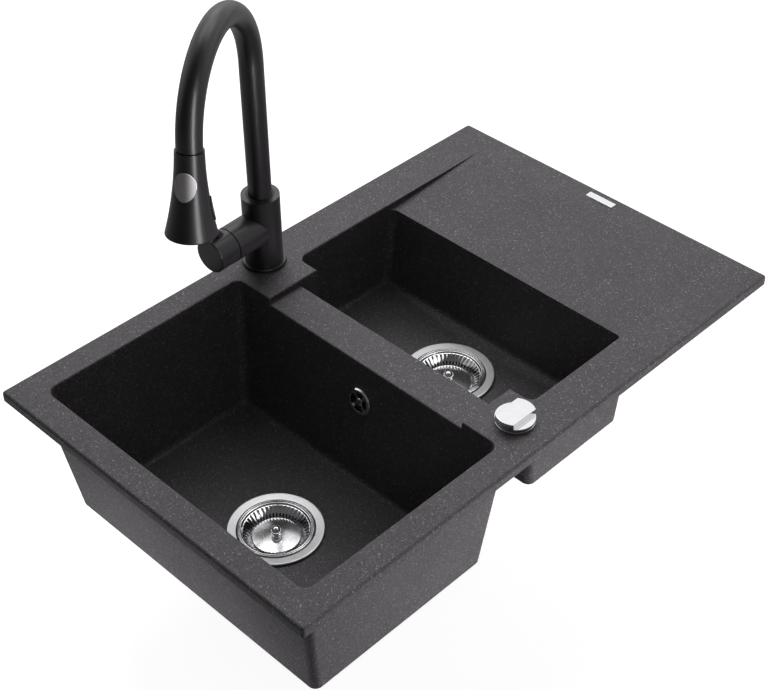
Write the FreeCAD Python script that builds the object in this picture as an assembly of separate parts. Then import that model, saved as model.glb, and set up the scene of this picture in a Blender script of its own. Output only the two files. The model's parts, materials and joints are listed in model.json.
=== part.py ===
import FreeCAD, Part
import math
import os

# A granite composite kitchen sink with two bowls, a drainer, two basket wastes, an overflow,
# a pop-up control and a pull-out mixer tap. Sizes are in millimetres.
# Everything is drawn from the front left corner of the rim's top face: x runs along the rim
# towards the drainer, y towards the back and z up. The finished pieces are then moved so that
# the origin is in the middle of the seat strip under the back of the rim.

Vector = FreeCAD.Vector
Placement = FreeCAD.Placement
Rotation = FreeCAD.Rotation
UP = Vector(0, 0, 1)
CENTRE = Vector(0, 0, 0)

# Clearances
running_gap = 0.05
seat_gap = 0.3
cut_over = 3.0

# Rim and deck
rim_length = 755.0
rim_width = 480.0
rim_edge = 12.0
rim_corner = 4.0
rim_round = 2.0
seat_width = 8.0
deck_recess = 2.0
step_depth = 8.0
panel_thickness = 10.0
lip_round = 2.0
lip_shortest = 0.5

# Bowls, shared
bowl_wall = 9.5
bowl_floor = 11.0
bowl_corner = 11.0
floor_round = 6.0
floor_round_steps = 4
foot_round = 4.0
shell_corner = 10.0

# Main bowl
main_left = 35.0
main_length = 278.0
main_margin = 34.5
main_depth = 166.0
main_draft = 22.0
main_shell_draft = 17.0
main_fall = 7.0

# Divider and the two platforms at its ends
divider_width = 49.0
platform_reach = 28.0
knob_platform = 86.0
tap_platform = 89.0

# Small bowl and drainer
small_length = 163.0
small_front_margin = 54.5
small_back_margin = 56.0
small_depth = 112.0
small_left_draft = 4.0
small_right_draft = 17.0
small_end_draft = 4.0
small_shell_draft = 1.0
small_fall = 5.0
small_waste_inset = 70.0
drainer_margin = 45.0
drainer_lap = 1.5

# Badge plate
badge_width = 10.0
badge_length = 41.0
badge_thickness = 1.0
badge_inset = 16.0
badge_corner = 1.0

# Basket waste
waste_hole = 47.5
flange_radius = 56.5
flange_lip = 1.6
flange_mouth = 45.5
flange_wall = 1.0
waste_seat_margin = 1.0
cup_depth = 30.0
cup_base = 1.2
drain_holes = 6
drain_hole_radius = 4.5
drain_hole_circle = 15.0
gasket_thickness = 1.5
clamp_gasket = 3.0
clamp_flange = 60.0
clamp_thickness = 4.0
body_radius = 53.0
body_wall = 3.0
body_height = 50.0
outlet_radius = 23.9
outlet_wall = 3.0
outlet_length = 40.0
waste_boss_margin = 4.0
rib_count = 3
rib_width = 4.0
hub_radius = 9.0
hub_depth = 14.0

# Centre screw and lift pin
screw_radius = 5.0
screw_head = 8.0
screw_head_height = 3.0
screw_thread = 12.0
screw_slot = 2.0
pin_radius = 2.5
pin_below = 34.0

# Strainer basket
basket_sheet = 0.8
basket_side_gap = 0.5
basket_bead = 1.3
basket_bead_gap = 4.4
basket_depth = 13.5
basket_base = 28.0
basket_slots = 24
basket_slot_width = 2.0
basket_slot_length = 6.0
basket_slot_inset = 1.5
post_radius = 3.0
post_shoulder = 1.0
post_knob = 6.3
post_knob_height = 8.0
carrier_radius = 24.0
carrier_thickness = 1.5
seal_thickness = 3.2
seal_bore = 9.5

# Overflow on the main bowl's right wall
overflow_from_middle = -6.0
overflow_height = 57.5
overflow_hole = 12.5
overflow_cover = 17.0
overflow_cover_height = 3.0
overflow_edge = 1.6
overflow_hub = 5.0
overflow_spokes = 4
overflow_spoke = 3.4
overflow_rim = 12.0
overflow_screw = 2.5
overflow_screw_head = 4.0
overflow_gasket = 2.0
elbow_radius = 20.0
elbow_chamber = 16.0
elbow_wall = 2.5
elbow_depth = 32.0
elbow_length = 36.0
pipe_radius = 10.0
pipe_wall = 2.0
pipe_bend = 32.0
pipe_drop = 24.0
socket_wall = 3.0
socket_length = 18.0

# Pop-up control
knob_from_bowl = 42.0
knob_y = 48.0
knob_radius = 22.3
knob_base = 2.0
knob_ledge = 6.2
knob_height = 12.5
knob_bar = 26.0
knob_hole = 14.0
spindle_radius = 6.0
barrel_radius = 13.6
barrel_length = 34.0
barrel_box = 15.0
barrel_box_height = 22.0
barrel_wall = 3.0
drum_room = 1.5
gland_radius = 4.0
gland_length = 12.0
knob_nut = 22.0
knob_nut_height = 8.0

# Tap: base, body and fixing
tap_from_bowl = 46.0
tap_back = 30.0
tap_hole = 17.5
base_radius = 26.5
base_height = 5.0
base_seal = 2.0
base_seal_width = 4.0
base_seal_inset = 2.5
body_tap_radius = 22.95
body_tap_height = 97.0
shank_radius = 16.4
shank_length = 70.0
inlet_radius = 4.3
inlet_spread = 6.3
inlet_front = 5.0
inlet_depth = 14.0
water_way = 2.5
water_way_rise = 6.0
hose_bore = 6.0
hose_bore_back = 6.0
washer_radius = 23.0
washer_flat = 21.0
washer_rubber = 3.0
washer_steel = 2.0
nut_flat = 20.0
nut_height = 10.0

# Tap: branch, cartridge and handle
handle_heading = 183.0
branch_radius = 21.5
branch_below_top = 43.5
branch_length = 54.9
handle_gap = 1.2
handle_length = 28.9
handle_radius = 21.2
handle_hollow = 17.5
handle_hollow_depth = 3.5
handle_round = 1.5
cartridge_radius = 17.4
cartridge_length = 32.5
cartridge_nut = 4.0
cartridge_nut_bore = 12.0
stem_radius = 5.15
stem_inside = 14.0
stem_outside = 13.0
lever_radius = 4.0
lever_length = 70.4
lever_lean = 38.0
lever_root = 7.0
lever_root_height = 16.0
grub_radius = 2.45
grub_place = 10.0
grub_sink = 2.0

# Tap: spout
spout_heading = 209.9
spout_radius = 13.95
spout_wall = 2.0
spout_rise = 271.5
spout_bend = 96.6
spout_turn = 170.0
spout_leg = 8.8
spout_foot_gap = 2.0
bearing_radius = 17.0
bush_height = 6.8
spout_seal_rise = 2.5
spout_seal_height = 2.6
spout_seal_pitch = 4.5
stop_radius = 1.6
stop_groove = 0.8
stop_below_bush = 0.3
seal_below_stop = 0.1
stop_sink = 1.0
sleeve_inner = 9.2
sleeve_length = 8.0

# Tap: spray head, measured along its axis from its top edge
head_length = 93.5
head_top_radius = 15.6
head_middle_radius = 19.1
head_foot_radius = 28.2
head_wall = 2.4
head_foot_round = 2.0
dock_gap = 0.4
dock_radius = 8.9
dock_height = 12.0
core_radius = 8.5
nozzle_plate = 5.0
nozzle_inset = 0.8
nozzle_gap = 0.2
nozzle_tip = 1.1
nozzle_tip_height = 2.2
nozzle_rings = ((8, 11.0), (14, 16.0), (20, 21.0))
nipple_radius = 5.5
nipple_length = 28.0
button_width = 24.0
button_length = 30.5
button_centre = 33.7
button_proud = 1.0
button_depth = 3.4
button_gap = 0.35
button_heading = 180.0
side_button_width = 12.0
side_button_length = 27.0
side_button_centre = 63.5
side_button_proud = 1.3
side_button_heading = 72.0
spool_radius = 3.5
spool_end = 3.0

# Places worked out from the sizes above
main_right = main_left + main_length
main_back = rim_width - main_margin
notch_left = main_right + divider_width
notch_back = rim_width - tap_platform
small_left = notch_left + platform_reach
small_right = small_left + small_length
small_back = rim_width - small_back_margin
drainer_start = small_right - bowl_corner + drainer_lap
drainer_end = rim_length - drainer_margin
knob_x = main_right + knob_from_bowl
tap_x = main_right + tap_from_bowl
deck_thickness = rim_edge - deck_recess
tap_y = rim_width - tap_back
branch_height = body_tap_height - branch_below_top
stop_from_top = bush_height + stop_below_bush + stop_radius
seal_stack = seal_below_stop + spout_seal_height + spout_seal_pitch + spout_seal_rise
top_bore_depth = stop_from_top + stop_radius + seal_stack
spout_entry = top_bore_depth - spout_foot_gap
main_waste = Vector(main_left + main_length / 2, (main_margin + main_back) / 2, -main_depth - main_fall)
overflow_y = main_waste.y + overflow_from_middle
small_waste = Vector(
    small_left + small_waste_inset, (small_front_margin + small_back) / 2, -small_depth - small_fall)
cartridge_start = branch_length - cartridge_nut - cartridge_length
handle_start = branch_length + handle_gap
origin = Vector(rim_length / 2, rim_width - seat_width / 2, -rim_edge)
tap_place = Placement(Vector(tap_x, tap_y, 0), Rotation())
handle_place = tap_place.multiply(Placement(Vector(0, 0, branch_height), Rotation(UP, handle_heading)))
spout_place = tap_place.multiply(Placement(CENTRE, Rotation(UP, spout_heading)))

pieces = {}


def cylinder(radius, low, high):
    """Upright round bar between two heights."""
    return Part.makeCylinder(radius, high - low, Vector(0, 0, low))


def ring(outer, inner, low, high):
    """Upright tube between two heights."""
    return cylinder(outer, low, high).cut(cylinder(inner, low, high))


def bar_along_x(radius, start, end):
    """Round bar along x between two distances."""
    return Part.makeCylinder(radius, end - start, Vector(start, 0, 0), Vector(1, 0, 0))


def block(left, front, right, back, low, high):
    """Box between two corners."""
    return Part.makeBox(right - left, back - front, high - low, Vector(left, front, low))


def turned(profile):
    """Solid of revolution about z from a closed outline of (radius, height) points."""
    points = [Vector(radius, 0, height) for radius, height in profile]
    outline = Part.makePolygon(points + points[:1])
    return Part.Face(outline).revolve(CENTRE, UP, 360)


def prism_along_y(outline, front, back):
    """Straight solid along y from a closed outline of (x, z) points."""
    points = [Vector(x, front, z) for x, z in outline]
    face = Part.Face(Part.makePolygon(points + points[:1]))
    return face.extrude(Vector(0, back - front, 0))


def rounded_outline(left, front, right, back, radius, height):
    """Closed wire of a rectangle with round corners, always of eight edges."""
    corner_mid = radius * (1 - math.sqrt(0.5))
    corners = (
        ((right - radius, front), (right - corner_mid, front + corner_mid), (right, front + radius)),
        ((right, back - radius), (right - corner_mid, back - corner_mid), (right - radius, back)),
        ((left + radius, back), (left + corner_mid, back - corner_mid), (left, back - radius)),
        ((left, front + radius), (left + corner_mid, front + corner_mid), (left + radius, front)),
    )
    edges = []
    last = Vector(left + radius, front, height)
    for corner in corners:
        start, middle, end = [Vector(x, y, height) for x, y in corner]
        edges.append(Part.LineSegment(last, start).toShape())
        edges.append(Part.Arc(start, middle, end).toShape())
        last = end
    return Part.Wire(edges)


def rounded_block(left, front, right, back, radius, low, high):
    """Plate with round upright corners."""
    face = Part.Face(rounded_outline(left, front, right, back, radius, low))
    return face.extrude(Vector(0, 0, high - low))


def put(name, shape, place=Placement()):
    """Keep a finished piece, placed in the sink and moved to the part's origin."""
    shape = shape.copy()
    shape.Placement = place.multiply(shape.Placement)
    shape.translate(-origin)
    pieces[name] = shape


def edges_at_height(shape, height, inside):
    """Level edges of a shape at one height whose centre lies in a plan rectangle."""
    left, front, right, back = inside
    found = []
    for edge in shape.Edges:
        box = edge.BoundBox
        level = abs(box.ZMin - height) < 1e-3 and abs(box.ZMax - height) < 1e-3
        middle = edge.CenterOfMass
        if level and left <= middle.x <= right and front <= middle.y <= back:
            found.append(edge)
    return found


class Bowl:
    """Tapered bowl with round corners and a floor that falls to its waste."""

    def __init__(self, sides, drafts, shell_drafts, depth, fall, waste):
        self.left, self.front, self.right, self.back = sides
        self.drafts = drafts
        self.shell_drafts = shell_drafts
        self.depth = depth
        self.fall = fall
        self.waste = waste

    def section(self, height, drafts, grow, corner):
        """Outline of a wall at one height with its drafts, moved outwards by grow."""
        share = -height / self.depth
        left, front, right, back = [draft * share - grow for draft in drafts]
        return rounded_outline(
            self.left + left, self.front + front, self.right - right, self.back - back, corner, height)

    def cavity(self):
        """Space inside the bowl: walls, a round along the floor, and the fall to the waste."""
        outlines = [self.section(cut_over, self.drafts, 0, bowl_corner)]
        for step in range(floor_round_steps + 1):
            angle = math.pi / 2 * step / floor_round_steps
            drop = floor_round * (1 - math.sin(angle))
            inset = floor_round * (1 - math.cos(angle))
            outlines.append(self.section(drop - self.depth, self.drafts, -inset, bowl_corner - inset))
        sump = flange_radius + waste_seat_margin
        outlines.append(rounded_outline(
            self.waste.x - sump, self.waste.y - sump, self.waste.x + sump, self.waste.y + sump,
            sump - waste_seat_margin, self.waste.z))
        return Part.makeLoft(outlines, True, True)

    def shell(self):
        """Outside of the bowl with a thick boss under the waste."""
        bottom = -self.depth - bowl_floor
        ends = [self.section(height, self.shell_drafts, bowl_wall, shell_corner) for height in (0, bottom)]
        walls = Part.makeLoft(ends, True, True)
        walls = walls.makeFillet(foot_round, edges_at_height(walls, bottom, self.plan()))
        boss = cylinder(clamp_flange + waste_boss_margin, self.under_waste(), bottom + foot_round)
        boss.translate(Vector(self.waste.x, self.waste.y, 0))
        return walls.fuse(boss)

    def plan(self):
        """Rectangle that holds the whole bowl in plan."""
        return (self.left - bowl_wall, self.front - bowl_wall, self.right + bowl_wall, self.back + bowl_wall)

    def under_waste(self):
        """Height of the face under the floor that the waste is clamped to."""
        return self.waste.z - bowl_floor


main_bowl = Bowl(
    (main_left, main_margin, main_right, main_back),
    (main_draft, main_draft, main_draft, main_draft),
    (main_draft, main_shell_draft, main_shell_draft, main_shell_draft),
    main_depth, main_fall, main_waste)
small_bowl = Bowl(
    (small_left, small_front_margin, small_right, small_back),
    (small_left_draft, small_end_draft, small_right_draft, small_end_draft),
    (small_left_draft, small_shell_draft, small_right_draft, small_end_draft),
    small_depth, small_fall, small_waste)


def overflow_place():
    """Frame on the main bowl's right wall whose z axis points square into the bowl."""
    slope = math.atan2(main_draft, main_depth)
    normal = Vector(-math.cos(slope), 0, math.sin(slope))
    wall_x = main_right - main_draft * overflow_height / main_depth
    down = Vector(-math.sin(slope), 0, -math.cos(slope))
    across = normal.cross(down)
    return Placement(Vector(wall_x, overflow_y, -overflow_height), Rotation(down, across, normal, "ZXY"))


def lip_edges(body):
    """Edges round the bowls, along the divider and along its steps, which are rounded off."""
    small_sides = (
        small_left - bowl_wall, small_front_margin - bowl_wall, drainer_start, small_back + bowl_wall)
    steps = (
        main_right + bowl_wall, knob_platform - bowl_wall, small_left - bowl_wall, notch_back + bowl_wall)
    divider_sides = (
        main_right - bowl_wall, knob_platform + bowl_wall, small_left, notch_back - bowl_wall)
    edges = edges_at_height(body, -step_depth, divider_sides)
    for plan in (main_bowl.plan(), small_sides, steps):
        edges += edges_at_height(body, 0, plan)
    return [edge for edge in edges if edge.Length > lip_shortest]


def sink_body():
    """The cast sink: rim, bowls, divider, platforms and drainer, with its holes."""
    deck = rounded_block(0, 0, rim_length, rim_width, rim_corner, -rim_edge, 0)
    deck = deck.makeFillet(rim_round, edges_at_height(deck, 0, (0, 0, rim_length, rim_width)))
    hollow = rounded_block(
        seat_width, seat_width, rim_length - seat_width, rim_width - seat_width,
        rim_corner, -rim_edge - cut_over, -deck_thickness)
    deck = deck.cut(hollow)
    low_panel = -step_depth - panel_thickness
    panel = prism_along_y(
        ((small_right, -step_depth), (small_right, low_panel), (drainer_end, -panel_thickness),
         (drainer_end, -step_depth)),
        small_front_margin - bowl_wall, small_back + bowl_wall)
    divider = block(
        main_right, knob_platform - bowl_wall, small_left, notch_back + bowl_wall, low_panel, -step_depth)
    slant_foot = small_left + small_left_draft
    small_foot = -small_depth - bowl_floor
    slant_wall = prism_along_y(
        ((notch_left - bowl_wall, -step_depth), (slant_foot - bowl_wall, small_foot + foot_round),
         (slant_foot + bowl_wall, small_foot + foot_round), (slant_foot + bowl_wall, -step_depth)),
        knob_platform - bowl_wall, notch_back + bowl_wall)
    body = deck.fuse([panel, divider, slant_wall, main_bowl.shell(), small_bowl.shell()])
    divider_cut = block(
        main_right - bowl_wall, knob_platform, small_left + bowl_wall, notch_back, -step_depth, cut_over)
    slant_cut = prism_along_y(
        ((notch_left, cut_over), (notch_left, -step_depth), (slant_foot, -small_depth),
         (slant_foot + bowl_wall, -small_depth), (slant_foot + bowl_wall, cut_over)),
        knob_platform, notch_back)
    drain_cut = prism_along_y(
        ((drainer_start, cut_over), (drainer_start, -step_depth),
         (small_right, -step_depth), (drainer_end, 0), (drainer_end, cut_over)),
        small_front_margin, small_back)
    body = body.cut([main_bowl.cavity(), small_bowl.cavity(), divider_cut, slant_cut, drain_cut])
    holes = []
    for bowl in (main_bowl, small_bowl):
        hole = cylinder(waste_hole, bowl.under_waste() - cut_over, bowl.waste.z + cut_over)
        hole.translate(Vector(bowl.waste.x, bowl.waste.y, 0))
        holes.append(hole)
    for x, y, radius in ((tap_x, tap_y, tap_hole), (knob_x, knob_y, knob_hole)):
        hole = cylinder(radius, -rim_edge - cut_over, cut_over)
        hole.translate(Vector(x, y, 0))
        holes.append(hole)
    overflow = cylinder(overflow_hole, 2 * back_of_wall, cut_over)
    overflow_seat = cylinder(elbow_radius + waste_seat_margin, 2 * back_of_wall, back_of_wall)
    for hole in (overflow, overflow_seat):
        hole.Placement = overflow_place()
        holes.append(hole)
    body = body.cut(holes).removeSplitter()
    return body.makeFillet(lip_round, lip_edges(body))


def badge_plate():
    """Bare badge plate stuck on the end of the drainer."""
    middle_x = rim_length - badge_inset
    middle_y = (small_front_margin + small_back) / 2
    return rounded_block(
        middle_x - badge_width / 2, middle_y - badge_length / 2,
        middle_x + badge_width / 2, middle_y + badge_length / 2, badge_corner, 0, badge_thickness)


def circle_of(shape, count, radius, start=0.0):
    """Copies of a shape on a circle about z."""
    copies = []
    for step in range(count):
        copy = shape.copy()
        copy.translate(Vector(radius, 0, 0))
        copy.rotate(CENTRE, UP, start + 360.0 * step / count)
        copies.append(copy)
    return copies


# Heights in a waste, counted from the seat face round its hole
lip_low = gasket_thickness
lip_high = lip_low + flange_lip
cup_low = -cup_depth
cup_floor = cup_low + cup_base
clamp_low = -bowl_floor - clamp_gasket
body_low = clamp_low - body_height
head_top = cup_floor + screw_head_height
carrier_low = cup_floor + seat_gap + seal_thickness
carrier_high = carrier_low + carrier_thickness
basket_low = lip_high - basket_depth
cup_outer = flange_mouth + flange_wall
inlet_height = clamp_low - pipe_drop
socket_stop = body_radius + body_wall
socket_end = socket_stop + socket_length
basket_outer = flange_mouth - basket_side_gap

# Distances from the overflow's wall, square to it, and along its elbow
back_of_wall = -bowl_wall * math.cos(math.atan2(main_draft, main_depth))
gasket_low = back_of_wall - overflow_gasket
pipe_axis = gasket_low - elbow_depth / 2
elbow_stop = elbow_length - socket_length


def waste_flange():
    """Pressed steel flange with a cup, drain holes and a hole for the centre screw."""
    cup = turned((
        (0, cup_low), (cup_outer, cup_low), (cup_outer, lip_low), (flange_radius, lip_low),
        (flange_radius, lip_low + flange_lip / 2), (flange_radius - flange_lip, lip_high),
        (flange_mouth, lip_high), (flange_mouth, cup_floor), (0, cup_floor)))
    drains = circle_of(cylinder(drain_hole_radius, cup_low, cup_floor), drain_holes, drain_hole_circle)
    return cup.cut(drains + [cylinder(screw_radius + running_gap, cup_low, cup_floor)])


def waste_body(side_inlet):
    """Moulded body under the floor with ribs, a threaded hub and any side inlet."""
    inner = body_radius - body_wall
    clamp_foot = clamp_low - clamp_thickness
    body = turned((
        (0, body_low), (body_radius, body_low), (body_radius, clamp_foot), (clamp_flange, clamp_foot),
        (clamp_flange, clamp_low), (0, clamp_low)))
    bores = []
    if side_inlet:
        socket = bar_along_x(pipe_radius + socket_wall, 0, socket_end)
        bores = [
            bar_along_x(pipe_radius + running_gap, socket_stop, socket_end),
            bar_along_x(pipe_radius - pipe_wall, inner - 2 * body_wall, socket_stop)]
        for bar in [socket] + bores:
            bar.translate(Vector(0, overflow_y - main_waste.y, inlet_height))
        body = body.fuse(socket)
    body = body.cut([
        cylinder(inner, body_low + body_wall, clamp_low),
        cylinder(outlet_radius - outlet_wall, body_low, clamp_low)])
    hub_top = cup_low - seat_gap
    hub_low = hub_top - hub_depth
    rib = block(0, -rib_width / 2, inner + body_wall / 2, rib_width / 2, hub_low, hub_top)
    hub = cylinder(hub_radius, hub_low, hub_top)
    body = body.fuse(circle_of(rib, rib_count, 0, 180.0 / rib_count) + [hub])
    return body.cut(bores + [cylinder(screw_radius + running_gap, hub_low, hub_top)])


def waste_screw(hollow):
    """Centre screw that draws the flange and the body together."""
    low = cup_low - seat_gap - screw_thread
    screw = cylinder(screw_radius, low, cup_floor).fuse(cylinder(screw_head, cup_floor, head_top))
    if hollow:
        return screw.cut(cylinder(pin_radius + running_gap, low, head_top))
    slot = block(
        -screw_head, -screw_slot / 2, screw_head, screw_slot / 2, head_top - screw_head_height / 2, head_top)
    return screw.cut(slot)


def basket():
    """Pressed strainer basket with two beads at its rim and slots in its wall."""
    bead_low = lip_high - basket_bead
    groove = lip_high - basket_bead / 2
    outer_bead = basket_outer - 2 * basket_bead
    inner_bead = outer_bead - basket_bead_gap
    sheet = turned((
        (post_radius, basket_low), (basket_base, basket_low), (inner_bead, bead_low - basket_sheet),
        (basket_outer, bead_low - basket_sheet), (basket_outer, lip_high), (outer_bead, lip_high),
        (outer_bead, groove), (inner_bead, groove), (inner_bead, lip_high),
        (inner_bead - basket_bead, lip_high), (basket_base - basket_sheet, basket_low + basket_sheet),
        (post_radius, basket_low + basket_sheet)))
    slot = block(0, -basket_slot_width / 2, basket_slot_length, basket_slot_width / 2, basket_low, lip_high)
    return sheet.cut(circle_of(slot, basket_slots, basket_base + basket_slot_inset))


def basket_post():
    """Post with a ball knob above the basket and the carrier disc of the seal below it."""
    sheet_top = basket_low + basket_sheet
    knob_middle = sheet_top + post_knob_height
    shoulder_radius = post_radius + post_shoulder
    post = cylinder(post_radius - running_gap, carrier_low, knob_middle)
    shoulder = cylinder(shoulder_radius, sheet_top, knob_middle)
    neck = cylinder(shoulder_radius, carrier_low, basket_low)
    carrier = cylinder(carrier_radius, carrier_low, carrier_high)
    ball = Part.makeSphere(post_knob, Vector(0, 0, knob_middle))
    return post.fuse([shoulder, neck, carrier, ball])


def basket_seal():
    """Rubber ring that closes the drain holes while the basket is down."""
    return ring(carrier_radius, seal_bore, cup_floor + seat_gap, carrier_low)


def build_waste(prefix, bowl, popup):
    """All the pieces of one basket waste; the main one also takes the overflow and the lift pin."""
    place = Placement(bowl.waste, Rotation())
    put(prefix + "_waste_flange", waste_flange(), place)
    put(prefix + "_flange_gasket", ring(flange_radius - flange_lip, waste_hole, 0, lip_low), place)
    put(prefix + "_clamp_gasket", ring(clamp_flange - flange_lip, waste_hole, clamp_low, -bowl_floor), place)
    put(prefix + "_waste_body", waste_body(popup), place)
    outlet_bore = outlet_radius - outlet_wall
    put(prefix + "_outlet_tube", ring(outlet_radius, outlet_bore, body_low - outlet_length, body_low), place)
    put(prefix + "_waste_screw", waste_screw(popup), place)
    put(prefix + "_basket", basket(), place)
    put(prefix + "_basket_post", basket_post(), place)
    put(prefix + "_basket_seal", basket_seal(), place)
    if popup:
        put("popup_pin", cylinder(pin_radius, head_top - pin_below, carrier_low - seat_gap), place)


def overflow_cover_plate():
    """Round cover with a hub on spokes inside its ring."""
    rim = turned((
        (overflow_rim, 0), (overflow_cover, 0), (overflow_cover, overflow_edge),
        (overflow_cover - overflow_edge, overflow_cover_height), (overflow_rim, overflow_cover_height)))
    spoke = block(
        0, -overflow_spoke / 2, overflow_rim + overflow_edge / 2, overflow_spoke / 2, 0, overflow_edge)
    spokes = circle_of(spoke, overflow_spokes, 0, 180.0 / overflow_spokes)
    hub = cylinder(overflow_hub, 0, overflow_edge)
    plate = rim.fuse(spokes + [hub])
    return plate.cut(cylinder(overflow_screw + running_gap, 0, overflow_cover_height))


def overflow_elbow():
    """Moulded elbow behind the wall: flange, chamber, screw boss and a socket pointing down."""
    end = gasket_low - elbow_depth
    chamber = cylinder(elbow_chamber, end, gasket_low)
    flange = cylinder(elbow_radius, gasket_low - clamp_thickness, gasket_low)
    outlet = bar_along_x(pipe_radius + socket_wall, 0, elbow_length)
    outlet.translate(Vector(0, 0, pipe_axis))
    inside = cylinder(elbow_chamber - elbow_wall, end + elbow_wall, gasket_low)
    bores = [
        bar_along_x(pipe_radius + running_gap, elbow_stop, elbow_length),
        bar_along_x(pipe_radius - pipe_wall, 0, elbow_stop)]
    for bore in bores:
        bore.translate(Vector(0, 0, pipe_axis))
    boss = cylinder(overflow_hub, end, gasket_low - clamp_thickness)
    elbow = chamber.fuse([flange, outlet]).cut([inside] + bores).fuse(boss)
    return elbow.cut(cylinder(overflow_screw + running_gap, end + elbow_wall, gasket_low))


def overflow_screw_piece():
    """Screw that holds the cover and the elbow together through the wall."""
    shank = cylinder(overflow_screw, gasket_low - elbow_depth + elbow_wall + seat_gap, overflow_edge)
    head = cylinder(overflow_screw_head, overflow_edge, overflow_cover_height)
    return shank.fuse(head)


def overflow_pipe():
    """Rigid pipe from the elbow down beside the bowl and in to the main waste body."""
    place = overflow_place()
    down = place.Rotation.multVec(Vector(1, 0, 0))
    inward = Vector(-1, 0, 0)
    start = place.multVec(Vector(elbow_stop, 0, pipe_axis))
    level = main_waste.z + inlet_height
    corner = start + down * ((level - start.z) / down.z)
    end = Vector(main_waste.x + socket_stop, overflow_y, level)
    half_turn = down.getAngle(inward) / 2
    reach = pipe_bend * math.tan(half_turn)
    first = corner - down * reach
    last = corner + inward * reach
    to_centre = inward - down
    to_centre.normalize()
    middle = corner + to_centre * (pipe_bend / math.cos(half_turn) - pipe_bend)
    route = Part.Wire([
        Part.LineSegment(start, first).toShape(),
        Part.Arc(first, middle, last).toShape(),
        Part.LineSegment(last, end).toShape()])
    bars = []
    for radius in (pipe_radius, pipe_radius - pipe_wall):
        circle = Part.Wire(Part.makeCircle(radius, start, down))
        bars.append(route.makePipeShell([circle], True, False))
    return bars[0].cut(bars[1])


def build_overflow():
    """Cover, screw, gasket, elbow and pipe of the overflow."""
    place = overflow_place()
    put("overflow_cover", overflow_cover_plate(), place)
    put("overflow_screw", overflow_screw_piece(), place)
    put("overflow_gasket", ring(elbow_radius, overflow_hole, gasket_low, back_of_wall), place)
    put("overflow_elbow", overflow_elbow(), place)
    put("overflow_pipe", overflow_pipe())


def hexagon(flat, low, high):
    """Six-sided bar with two of its flats facing front and back."""
    corner = flat / math.cos(math.pi / 6)
    points = [
        Vector(corner * math.cos(step * math.pi / 3), corner * math.sin(step * math.pi / 3), low)
        for step in range(7)]
    return Part.Face(Part.makePolygon(points)).extrude(Vector(0, 0, high - low))


def build_popup_control():
    """Turn knob of the pop-up waste with its base, spindle, housing and nut."""
    place = Placement(Vector(knob_x, knob_y, 0), Rotation())
    knob_low = knob_base + seat_gap
    bar = cylinder(knob_radius, knob_low, knob_height)
    bar = bar.common(block(
        -knob_radius, -knob_bar / 2, knob_radius, knob_bar / 2, knob_low, knob_height))
    knob = cylinder(knob_radius, knob_low, knob_ledge).fuse(bar).removeSplitter()
    spindle_top = knob_ledge
    spindle_bore = spindle_radius + running_gap
    put("popup_knob", knob.cut(cylinder(spindle_bore, knob_low, spindle_top + seat_gap)), place)
    put("popup_base", ring(knob_radius, spindle_bore, 0, knob_base), place)
    box_low = -barrel_length - barrel_box_height
    drum_low = box_low + barrel_wall + drum_room
    drum = cylinder(barrel_box - barrel_wall - drum_room, drum_low, -barrel_length - drum_room)
    put("popup_spindle", cylinder(spindle_radius, drum_low, spindle_top).fuse(drum), place)
    housing = cylinder(barrel_radius, -barrel_length, 0).fuse(cylinder(barrel_box, box_low, -barrel_length))
    gland_middle = -barrel_length - barrel_box_height / 2
    gland = Part.makeCylinder(
        gland_radius, barrel_box + gland_length, Vector(0, 0, gland_middle), Vector(0, 1, 0))
    cable_bore = Part.makeCylinder(
        gland_radius / 2, barrel_box + gland_length, Vector(0, 0, gland_middle), Vector(0, 1, 0))
    room = cylinder(barrel_box - barrel_wall, box_low + barrel_wall, -barrel_length)
    housing = housing.fuse(gland).cut([room, cable_bore, cylinder(spindle_bore, -barrel_length, 0)])
    put("popup_housing", housing, place)
    nut = hexagon(knob_nut, -deck_thickness - knob_nut_height, -deck_thickness)
    put("popup_nut", nut.cut(cylinder(barrel_radius + running_gap, -barrel_length, 0)), place)


def branch_frame(shape):
    """Turn a shape drawn along x into the tap's side branch."""
    shape.Placement = Placement(Vector(0, 0, branch_height), Rotation(UP, handle_heading))
    return shape


def moved(shape, x, y):
    """Shift a shape in plan."""
    shape.translate(Vector(x, y, 0))
    return shape


def tap_body():
    """Body with its side branch and threaded shank, bored for everything it holds.

    Each hose inlet leads up to a cross way at its own height, which ends at the cartridge.
    """
    solid = cylinder(body_tap_radius, base_height, body_tap_height)
    branch = branch_frame(bar_along_x(branch_radius, 0, branch_length))
    shank = cylinder(shank_radius, -shank_length, base_height)
    solid = solid.fuse([branch, shank]).removeSplitter()
    bore_floor = body_tap_height - top_bore_depth
    stop_hole = Part.makeCylinder(
        stop_radius + running_gap, body_tap_radius, Vector(0, 0, body_tap_height - stop_from_top),
        Vector(0, 1, 0))
    cuts = [
        cylinder(bearing_radius, bore_floor, body_tap_height),
        branch_frame(bar_along_x(cartridge_radius + running_gap, cartridge_start, branch_length)),
        moved(cylinder(hose_bore, -shank_length, bore_floor), 0, hose_bore_back),
        stop_hole]
    inlet_end = inlet_depth - shank_length
    for side in (-1, 1):
        height = branch_height + side * water_way_rise
        inlet = cylinder(inlet_radius, -shank_length, inlet_end)
        supply = cylinder(water_way, inlet_end, height)
        cross = Part.makeCylinder(
            water_way, cartridge_start + side * inlet_spread, Vector(0, 0, height), Vector(-1, 0, 0))
        cuts += [moved(way, side * inlet_spread, -inlet_front) for way in (inlet, supply, cross)]
    return solid.cut(cuts)


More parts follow.
